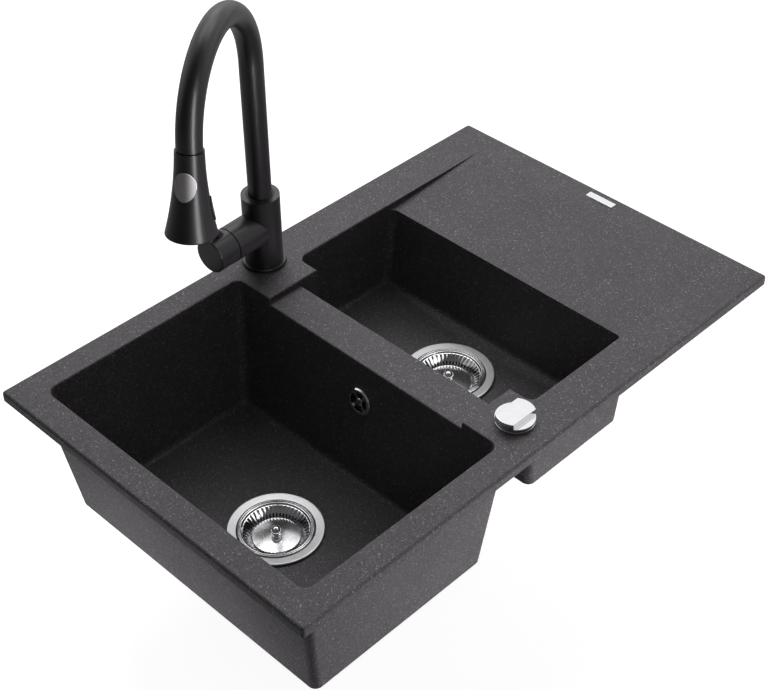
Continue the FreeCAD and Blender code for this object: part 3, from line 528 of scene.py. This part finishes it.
def waste_flange(prefix):
    """Spun flange that dips towards its mouth, with its cup and the cup's drain holes."""
    mesh = turned((
        (CUP_PLATE, CUP_FLOOR, 0),
        (MOUTH_RADIUS, CUP_FLOOR, CUP_ROUND),
        (MOUTH_RADIUS, FLANGE_TOP - FLANGE_DISH, MOUTH_ROUND),
        (FLANGE_RADIUS - FLANGE_EDGE, FLANGE_TOP, PRESS_ROUND),
        (FLANGE_RADIUS, FLANGE_TOP - FLANGE_EDGE / 2, LIP_ROUND),
        (FLANGE_RADIUS, FLANGE_LOW, TRIM_ROUND),
        (CUP_RADIUS, FLANGE_LOW, PRESS_ROUND),
        (CUP_RADIUS, CUP_LOW, CUP_ROUND),
        (CUP_PLATE, CUP_LOW, 0)))
    holes = [(SCREW_HOLE, 0, 0)]
    for step in range(DRAIN_HOLES):
        angle = FULL_TURN * step / DRAIN_HOLES
        holes.append((DRAIN_RADIUS, DRAIN_CIRCLE * math.cos(angle), DRAIN_CIRCLE * math.sin(angle)))
    join(mesh, plate_with_holes(CUP_PLATE, CUP_LOW, CUP_FLOOR, holes))
    show(prefix + "_flange_form", placed(mesh, prefix), SPUN[prefix], prefix + "_waste_flange")


def column(point, start=0.0):
    """Number of the step about z that a point is nearest to, counted from a start."""
    return round(math.atan2(point.y, point.x) / FULL_TURN * ROUND_STEPS - start)


def strainer_basket(prefix):
    """Pressed basket: rolled rim, groove, bead, a fluted wall with a row of slots, and a domed base.

    Every second face of the slots' row is cut out, and every second line of the wall is pressed in.
    """
    mesh = turned((
        (BASKET_RIM, BASKET_GROOVE, 0),
        (BASKET_RIM, FLANGE_TOP, ROLL_ROUND),
        (BASKET_BEAD, FLANGE_TOP, ROLL_ROUND),
        (BASKET_BEAD, BASKET_GROOVE, LIP_ROUND),
        (BASKET_INNER_BEAD, BASKET_GROOVE, LIP_ROUND),
        (BASKET_INNER_BEAD, FLANGE_TOP, BEAD_ROUND),
        (BASKET_MOUTH, FLANGE_TOP, BEAD_ROUND),
        (FLUTE_TOP, FLUTE_HIGH, PRESS_ROUND),
        (SLOT_TOP, SLOT_HIGH, 0),
        (SLOT_FOOT, SLOT_LOW, 0),
        (BASKET_BASE, BASKET_FLOOR, 0),
        (DOME_RADIUS, BASKET_FLOOR + BASKET_DOME * DOME_SHARE, 0),
        (POST_RADIUS + MARGIN, BASKET_FLOOR + BASKET_DOME, 0)))
    slots = []
    for face in mesh.faces:
        middle = face.calc_center_median()
        if SLOT_FOOT < middle.xy.length / MM < SLOT_TOP and column(middle, start=HALF_STEP) % 2 == 0:
            slots.append(face)
    bmesh.ops.delete(mesh, geom=slots, context="FACES")
    for vert in mesh.verts:
        reach = vert.co.xy.length / MM
        if SLOT_TOP - MARGIN < reach < FLUTE_TOP + MARGIN and column(vert.co) % 2:
            vert.co.xy *= 1 - FLUTE_DEPTH / reach
    show(
        prefix + "_basket_form", placed(mesh, prefix), STEEL, prefix + "_basket", angle=BASKET_ANGLE,
        wall=BASKET_SHEET)


def strainer_post(prefix):
    """Post with its ball knob, foot and the disc that carries the seal."""
    mesh = turned((
        (0, BALL_MIDDLE, 0),
        (NECK_RADIUS, NECK_TOP, TRIM_ROUND),
        (NECK_WAIST, NECK_LOW, PRESS_ROUND),
        (FOOT_RADIUS, FOOT_TOP, PRESS_ROUND),
        (FOOT_RADIUS, FOOT_LOW, 0),
        (POST_RADIUS, FOOT_LOW, 0),
        (POST_RADIUS, SHAFT_TOP, 0),
        (SHAFT_RADIUS, SHAFT_TOP, TRIM_ROUND),
        (SHAFT_RADIUS, CARRIER_TOP, FOOT_ROUND),
        (CARRIER_RADIUS, CARRIER_TOP, MOUTH_ROUND),
        (CARRIER_RADIUS, CARRIER_LOW, PRESS_ROUND),
        (0, CARRIER_LOW, 0)), steps=POST_STEPS)
    bmesh.ops.create_uvsphere(
        mesh, u_segments=BALL_COLUMNS, v_segments=BALL_ROWS, radius=BALL_RADIUS * MM,
        matrix=Matrix.Translation((0, 0, BALL_MIDDLE * MM)))
    show(prefix + "_post_form", placed(mesh, prefix), CHROME, prefix + "_basket_post")


def sink_form():
    """The cast sink with a softer upper edge on its rim: the points of its cast round are spread further."""
    mesh = cad_copy("sink_body")
    low, high = cad_box
    middle = Vector(((low.x + high.x) / 2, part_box("sink_body")[0].y + RIM_WIDTH * MM / 2))
    for vert in mesh.verts:
        out = vert.co.xy - middle
        past = Vector((
            max(abs(out.x) - (RIM_LENGTH / 2 - RIM_CORNER) * MM, 0),
            max(abs(out.y) - (RIM_WIDTH / 2 - RIM_CORNER) * MM, 0)))
        inset = RIM_CORNER * MM - past.length
        drop = RIM_TOP * MM - vert.co.z
        if inset < CAST_ROUND * MM + MERGE and drop < CAST_ROUND * MM + MERGE:
            share = (RIM_CORNER * MM - inset * SOFT_ROUND / CAST_ROUND) / past.length
            vert.co.x = middle.x + math.copysign(abs(out.x) - past.x + past.x * share, out.x)
            vert.co.y = middle.y + math.copysign(abs(out.y) - past.y + past.y * share, out.y)
            vert.co.z = RIM_TOP * MM - drop * SOFT_ROUND / CAST_ROUND
    show("sink_form", mesh, GRANITE, "sink_body", broad=BROAD_FACE)


def other_forms(drawn):
    """Every node that isn't drawn anew, in its own form with soft edges and a finish."""
    for node in frame["nodes"]:
        if node in drawn:
            continue
        if node in FORMS:
            finish, edge = FORMS[node]
        else:
            finish, edge = SLOT_FINISHES[slot_of[node]], PLAIN_EDGE
        show(node + "_form", cad_copy(node), finish, node, edge)


def floor():
    """Mid grey floor that shows as white to the eye and keeps the object's shadow."""
    material, tree, _ = start_finish("floor_white_paint")
    path = add(tree, "ShaderNodeLightPath")
    mirrored = add(
        tree, "ShaderNodeMath", {"operation": "MULTIPLY", 1: FLOOR_MIRRORED},
        {0: path.outputs["Is Glossy Ray"]})
    glow = add(
        tree, "ShaderNodeMath", {"operation": "MULTIPLY_ADD", 1: FLOOR_GLOW},
        {0: path.outputs["Is Camera Ray"], 2: mirrored.outputs[0]})
    end_finish(tree, {
        "Roughness": 0.9, "Specular IOR Level": 0.0, "Base Color": linear(FLOOR_COLOUR),
        "Emission Color": linear("#ffffff")}, {"Emission Strength": glow.outputs[0]})
    mesh = bmesh.new()
    bmesh.ops.create_grid(mesh, x_segments=1, y_segments=1, size=FLOOR_SIZE)
    bmesh.ops.translate(mesh, verts=mesh.verts, vec=(0, 0, cad_box[0].z))
    data = bpy.data.meshes.new("floor")
    mesh.to_mesh(data)
    mesh.free()
    data.materials.append(material)
    item = bpy.data.objects.new("floor", data)
    bpy.context.scene.collection.objects.link(item)


def group(name, finishes, others=False):
    """Collection of the pieces that wear one of some finishes, or of all the others."""
    pieces = bpy.data.collections.new(name)
    for item in bpy.context.scene.collection.objects:
        if item.name.endswith("_form") and (item.data.materials[0] in finishes) != others:
            pieces.objects.link(item)


def softbox(name, place, aim, size, power, lights=True, shows=True, only=None):
    """Rectangular soft lamp.

    It lights the object, shows in its gloss, or does both, on all pieces or only on a group.
    """
    lamp = bpy.data.lights.new(name, "AREA")
    lamp.shape = "RECTANGLE"
    lamp.size, lamp.size_y = size
    lamp.energy = power
    item = bpy.data.objects.new(name, lamp)
    item.location = place
    item.rotation_euler = (Vector(aim) - Vector(place)).to_track_quat("-Z", "Y").to_euler()
    item.visible_camera = False
    item.visible_diffuse = lights
    item.visible_glossy = shows
    if only:
        item.light_linking.receiver_collection = bpy.data.collections[only]
    bpy.context.scene.collection.objects.link(item)


def studio_world():
    """Room that is white to the eye, shows one bright side and a dim ceiling in gloss, and fills evenly."""
    world = bpy.data.worlds.new("studio")
    world.use_nodes = True
    tree = world.node_tree
    tree.nodes.clear()
    path = add(tree, "ShaderNodeLightPath")
    way = add(tree, "ShaderNodeTexCoord").outputs["Generated"]
    height = add(tree, "ShaderNodeSeparateXYZ", links={0: way})
    ceiling = add(
        tree, "ShaderNodeMapRange",
        {"From Min": CEILING_START, "From Max": CEILING_END, "To Min": 1.0, "To Max": CEILING_LEVEL},
        {"Value": height.outputs["Z"]})
    facing = add(tree, "ShaderNodeVectorMath", {"operation": "DOT_PRODUCT", 1: BRIGHT_SIDE}, {0: way})
    side = add(
        tree, "ShaderNodeMapRange",
        {"From Min": SIDE_START, "From Max": SIDE_END, "To Min": SIDE_LEVEL, "To Max": 1.0},
        {"Value": facing.outputs["Value"]})
    walls = add(
        tree, "ShaderNodeMath", {"operation": "MULTIPLY"},
        {0: side.outputs["Result"], 1: ceiling.outputs["Result"]})
    mirrored = add(
        tree, "ShaderNodeMath", {"operation": "MULTIPLY"},
        {0: path.outputs["Is Glossy Ray"], 1: walls.outputs[0]})
    seen = add(
        tree, "ShaderNodeMath", {"operation": "MAXIMUM"},
        {0: path.outputs["Is Camera Ray"], 1: path.outputs["Is Transmission Ray"]})
    shown = add(
        tree, "ShaderNodeMath", {"operation": "MAXIMUM"}, {0: seen.outputs[0], 1: mirrored.outputs[0]})
    strength = add(tree, "ShaderNodeMath", {"operation": "MAXIMUM", 1: WORLD_FILL}, {0: shown.outputs[0]})
    sky = add(tree, "ShaderNodeBackground", {"Color": linear("#ffffff")}, {"Strength": strength.outputs[0]})
    add(tree, "ShaderNodeOutputWorld", links={"Surface": sky.outputs[0]})
    bpy.context.scene.world = world


def photo_camera():
    """Camera at the photograph's place, angle and framing."""
    data = bpy.data.cameras.new("camera")
    data.lens = CAMERA_LENS
    data.shift_x, data.shift_y = CAMERA_SHIFT
    camera = bpy.data.objects.new("camera", data)
    camera.location = CAMERA_PLACE
    camera.rotation_euler = (math.radians(CAMERA_TILT), 0.0, math.radians(CAMERA_HEADING))
    bpy.context.scene.collection.objects.link(camera)
    bpy.context.scene.camera = camera


sink_form()
drawn_anew = ["sink_body"]
for prefix in WASTES:
    waste_flange(prefix)
    strainer_basket(prefix)
    strainer_post(prefix)
    drawn_anew += [prefix + "_waste_flange", prefix + "_basket", prefix + "_basket_post"]
other_forms(drawn_anew)

group("steel_pieces", (STEEL,))
group("black_pieces", (POWDER_BLACK, HEAD_PLASTIC, GREY_PLASTIC))
group("side_pieces", (POWDER_BLACK, HEAD_PLASTIC), others=True)
floor()
studio_world()
for name, settings in LAMPS.items():
    softbox(name, **settings)
photo_camera()
bpy.context.scene.view_settings.view_transform = "Standard"
